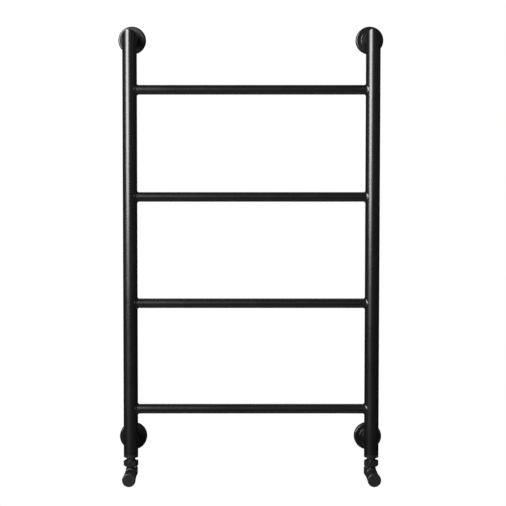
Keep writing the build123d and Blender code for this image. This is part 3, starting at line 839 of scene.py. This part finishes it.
class TOWEL_OT_weld_beads(bpy.types.Operator):
    """Lays the coated weld beads: at the rails, the lower stubs, the vent and the mitres."""

    bl_idname = "towel.weld_beads"
    bl_label = "Lay the weld beads"

    def execute(self, context):
        settings = context.scene.towel_beads
        coat = coat_material()
        rail_beads = []
        for side in SIDES.values():
            inwards = np.array([-side, 0.0, 0.0])
            for rail in RAILS:
                centre = np.array([side * UPRIGHT_X, UPRIGHT_Y, middle(rail)[2]])
                rail_beads.append(saddle_bead(centre, inwards, RAIL_R, UPRIGHT_R, settings))
        new_piece("rail_weld_beads", joined(rail_beads), coat, "rack", ["rail_welds"])
        stub_beads = []
        for side in SIDES.values():
            centre = np.array([side * UPRIGHT_X, UPRIGHT_Y, STUB_Z["bottom"]])
            stub_beads.append(saddle_bead(centre, BACKWARDS, UPRIGHT_R, UPRIGHT_R, settings))
        new_piece("stub_weld_beads", joined(stub_beads), coat, "rack")
        vent = middle("vent_boss")
        vent[1] = UPRIGHT_Y
        vent_bead = saddle_bead(vent, BACKWARDS, size("vent_boss")[0] / 2, UPRIGHT_R, settings)
        new_piece("vent_weld_bead", vent_bead, coat, "rack")
        ridges = [mitre_ridge(side, settings) for side in SIDES.values()]
        new_piece("mitre_weld_ridges", joined(ridges), coat, "rack")
        return {"FINISHED"}


class TOWEL_OT_soften_fittings(bpy.types.Operator):
    """Rounds the edges of the coated union nuts, compression nuts and forged valve bodies."""

    bl_idname = "towel.soften_fittings"
    bl_label = "Soften the fittings"

    def execute(self, context):
        settings = context.scene.towel_fittings
        coat = coat_material(fitting=True)
        for name, side in SIDES.items():
            self.union_nut(name, side, settings, coat)
            self.compression_nut(name, side, settings, coat)
            self.valve_body(name, settings, coat)
        return {"FINISHED"}

    def union_nut(self, name, side, settings, coat):
        node = f"union_nut_{name}"
        low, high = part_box(node)
        foot, top = low[2], high[2]
        lip = top - UNION_LIP
        bore = [(top, TAIL_HOLE_R), (lip, TAIL_HOLE_R), (lip, UNION_BORE_R), (foot, UNION_BORE_R)]
        origin = np.array([side * UPRIGHT_X, UPRIGHT_Y, 0.0])
        turn = math.radians(UNION_TURN[name])
        nut = hexagon_nut(
            origin, UP, foot, top, UNION_FLATS, UNION_CUTS, turn, bore, settings.edge
        )
        new_piece(f"rounded_union_nut_{name}", nut, coat, "rack", [node])

    def compression_nut(self, name, side, settings, coat):
        node = f"compression_nut_{name}"
        low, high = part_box(node)
        back, front = UPRIGHT_Y - high[1], UPRIGHT_Y - low[1]
        floor = back + PIPE_FLOOR
        bore = [(front, THREAD_HOLE_R), (floor, THREAD_HOLE_R), (floor, PIPE_HOLE_R), (back, PIPE_HOLE_R)]
        turn = math.radians(PIPE_TURN)
        nut = hexagon_nut(
            valve_centre(side), FORWARDS, back, front, PIPE_FLATS, PIPE_CUTS, turn, bore, settings.edge
        )
        new_piece(f"rounded_compression_nut_{name}", nut, coat, "rack", [node])

    def valve_body(self, name, settings, coat):
        """A copy of the body on a fine even grid, smoothed until its edges look forged."""
        node = f"valve_body_{name}"
        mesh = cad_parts[node].data.copy()
        mesh.name = f"forged_{node}"
        work = bmesh.new()
        work.from_mesh(mesh)
        bmesh.ops.remove_doubles(work, verts=work.verts, dist=1e-6)
        work.to_mesh(mesh)
        work.free()
        mesh.materials.clear()
        mesh.materials.append(coat)
        piece = bpy.data.objects.new(mesh.name, mesh)
        bpy.context.scene.collection.objects.link(piece)
        grid = piece.modifiers.new("Even grid", "REMESH")
        grid.mode = "VOXEL"
        grid.voxel_size = settings.voxel
        grid.use_smooth_shade = True
        smooth = piece.modifiers.new("Forged edges", "SMOOTH")
        smooth.factor = 0.5
        smooth.iterations = settings.soften
        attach(piece, "rack")
        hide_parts(node)


class TOWEL_OT_studio(bpy.types.Operator):
    """Sets up the pale floor, the soft lights and the camera."""

    bl_idname = "towel.studio"
    bl_label = "Set up the studio"

    def execute(self, context):
        settings = context.scene.towel_studio
        self.make_floor()
        self.make_lights(settings)
        self.make_room(context, settings)
        self.make_camera(context, settings)
        context.scene.view_settings.view_transform = "Standard"
        return {"FINISHED"}

    def make_floor(self):
        """A pale disc, hidden from the coat's reflections so that only the lights shape them."""
        origin = np.array([0, 0, cad_box[0][2] - FLOOR_DROP])
        corners = [
            (0, FLOOR_CORE_R, 0),
            (0, FLOOR_R, FLOOR_RIM),
            (-FLOOR_DEPTH, FLOOR_R, FLOOR_RIM),
            (-FLOOR_DEPTH, FLOOR_CORE_R, 0),
        ]
        points, faces = capped_surface(lathe(origin, UP, arc_profile(corners), FLOOR_SEGMENTS))
        mesh = bpy.data.meshes.new("studio_floor")
        mesh.from_pydata(points.tolist(), [], faces)
        mesh.update()
        material = bpy.data.materials.new("Pale floor")
        material.use_nodes = True
        shader = material.node_tree.nodes["Principled BSDF"]
        shader.inputs["Base Color"].default_value = (0.82, 0.82, 0.81, 1)
        shader.inputs["Roughness"].default_value = 0.6
        mesh.materials.append(material)
        floor = bpy.data.objects.new("studio_floor", mesh)
        floor.visible_glossy = False
        bpy.context.scene.collection.objects.link(floor)

    def soft_light(self, name, azimuth, distance, low, high, width, radiance, aimed=False):
        """An upright soft box at an azimuth left (-) or right (+) of the camera, from a low to
        a high edge, or tipped towards the rack where aimed. Its power is its radiance times
        its area times pi."""
        height = high - low
        turn = math.radians(azimuth)
        flat = Vector((math.sin(turn), -math.cos(turn), 0)) * distance
        middle_point = Vector((0, UPRIGHT_Y, (low + high) / 2)) + flat
        lamp = bpy.data.lights.new(name, "AREA")
        lamp.shape = "RECTANGLE"
        lamp.size = width
        lamp.size_y = height
        lamp.energy = radiance * width * height * math.pi
        light = bpy.data.objects.new(name, lamp)
        light.location = middle_point
        target = Vector((0, UPRIGHT_Y, 0 if aimed else middle_point.z))
        light.rotation_euler = (target - middle_point).to_track_quat("-Z", "Y").to_euler()
        light.visible_camera = False
        bpy.context.scene.collection.objects.link(light)
        return light

    def make_lights(self, settings):
        """A tall soft light at the front left, and two dim ones behind, above and below."""
        key = settings.key_radiance
        self.soft_light("key_light", -38.8, 2.6, low=-0.025, high=2.3, width=1.62, radiance=key)
        self.soft_light(
            "high_back_light", 172, 2.4, low=2.2, high=3.4, width=2.4, radiance=key * 0.08, aimed=True
        )
        self.soft_light("low_back_light", 172, 3.2, low=-2.9, high=-1.9, width=3.0, radiance=key * 0.1)

    def make_room(self, context, settings):
        """White to look at, and dimmer to light with: brightest from the floor, dark where the
        floor ends, brighter at wall height, and less from the ceiling and behind the rack."""
        room = bpy.data.worlds.new("Pale room")
        room.use_nodes = True
        tree = room.node_tree
        tree.nodes.clear()
        output = tree.nodes.new("ShaderNodeOutputWorld")
        mix = tree.nodes.new("ShaderNodeMixShader")
        seen = tree.nodes.new("ShaderNodeBackground")
        light = tree.nodes.new("ShaderNodeBackground")
        seen.inputs["Color"].default_value = (1, 1, 1, 1)
        coordinates = tree.nodes.new("ShaderNodeTexCoord")
        parts = tree.nodes.new("ShaderNodeSeparateXYZ")
        tree.links.new(coordinates.outputs["Generated"], parts.inputs[0])
        bright = settings.room_light

        def fade(part, start, end, first, last):
            """From first to last as that part of the direction goes from start to end."""
            node = tree.nodes.new("ShaderNodeMapRange")
            node.inputs["From Min"].default_value = start
            node.inputs["From Max"].default_value = end
            node.inputs["To Min"].default_value = first
            node.inputs["To Max"].default_value = last
            tree.links.new(parts.outputs[part], node.inputs["Value"])
            return node.outputs["Result"]

        floor_glow = fade("Z", -0.85, -0.35, 2.1 * bright, 0.3 * bright)
        ceiling = fade("Z", 0.2, 0.6, 1, 0.5)
        wall_glow = fade("Z", -0.28, 0.12, 0, 0.95 * bright)
        front = fade("Y", -0.1, 0.5, 1, 0.25)
        glow = math_node(tree, "ADD", floor_glow, wall_glow)
        glow = math_node(tree, "MULTIPLY", glow, ceiling)
        tree.links.new(math_node(tree, "MULTIPLY", glow, front), light.inputs["Strength"])
        path = tree.nodes.new("ShaderNodeLightPath")
        tree.links.new(path.outputs["Is Camera Ray"], mix.inputs["Fac"])
        tree.links.new(light.outputs[0], mix.inputs[1])
        tree.links.new(seen.outputs[0], mix.inputs[2])
        tree.links.new(mix.outputs[0], output.inputs["Surface"])
        context.scene.world = room

    def make_camera(self, context, settings):
        """Stands at a height between the two upper rails, tipped down a little. A small shift
        brings the rack to the middle of the picture."""
        data = bpy.data.cameras.new("front_camera")
        data.sensor_width = 36
        data.lens = data.sensor_width * settings.distance / settings.view_width
        data.shift_x, data.shift_y = settings.shift
        camera = bpy.data.objects.new("front_camera", data)
        camera.location = (settings.eye[0], UPRIGHT_Y - settings.distance, settings.eye[1])
        camera.rotation_euler = (math.radians(90) - settings.tilt, 0, 0)
        context.scene.collection.objects.link(camera)
        context.scene.camera = camera


class TOWEL_PT_panel(bpy.types.Panel):
    """Lists the towel warmer's steps and settings."""

    bl_label = "Towel Warmer"
    bl_idname = "TOWEL_PT_panel"
    bl_space_type = "VIEW_3D"
    bl_region_type = "UI"
    bl_category = "Towel Warmer"

    def draw(self, context):
        for group in ("towel_coat", "towel_beads", "towel_fittings", "towel_studio"):
            box = self.layout.box()
            settings = getattr(context.scene, group)
            for name in settings.bl_rna.properties.keys():
                if name not in ("rna_type", "name"):
                    box.prop(settings, name)
        for operator in OPERATORS:
            self.layout.operator(operator.bl_idname)


OPERATORS = (
    TOWEL_OT_coat_tubes,
    TOWEL_OT_finish_metal,
    TOWEL_OT_finish_seals,
    TOWEL_OT_weld_beads,
    TOWEL_OT_soften_fittings,
    TOWEL_OT_studio,
)
SETTINGS = {
    "towel_coat": CoatSettings,
    "towel_beads": BeadSettings,
    "towel_fittings": FittingSettings,
    "towel_studio": StudioSettings,
}


def register():
    for group in SETTINGS.values():
        bpy.utils.register_class(group)
    for operator in OPERATORS:
        bpy.utils.register_class(operator)
    bpy.utils.register_class(TOWEL_PT_panel)
    for name, group in SETTINGS.items():
        setattr(bpy.types.Scene, name, PointerProperty(type=group))


def unregister():
    for name in SETTINGS:
        delattr(bpy.types.Scene, name)
    bpy.utils.unregister_class(TOWEL_PT_panel)
    for operator in reversed(OPERATORS):
        bpy.utils.unregister_class(operator)
    for group in reversed(SETTINGS.values()):
        bpy.utils.unregister_class(group)


def main():
    register()
    bpy.ops.towel.coat_tubes()
    bpy.ops.towel.finish_metal()
    bpy.ops.towel.finish_seals()
    bpy.ops.towel.weld_beads()
    bpy.ops.towel.soften_fittings()
    bpy.ops.towel.studio()


if __name__ == "__main__":
    main()
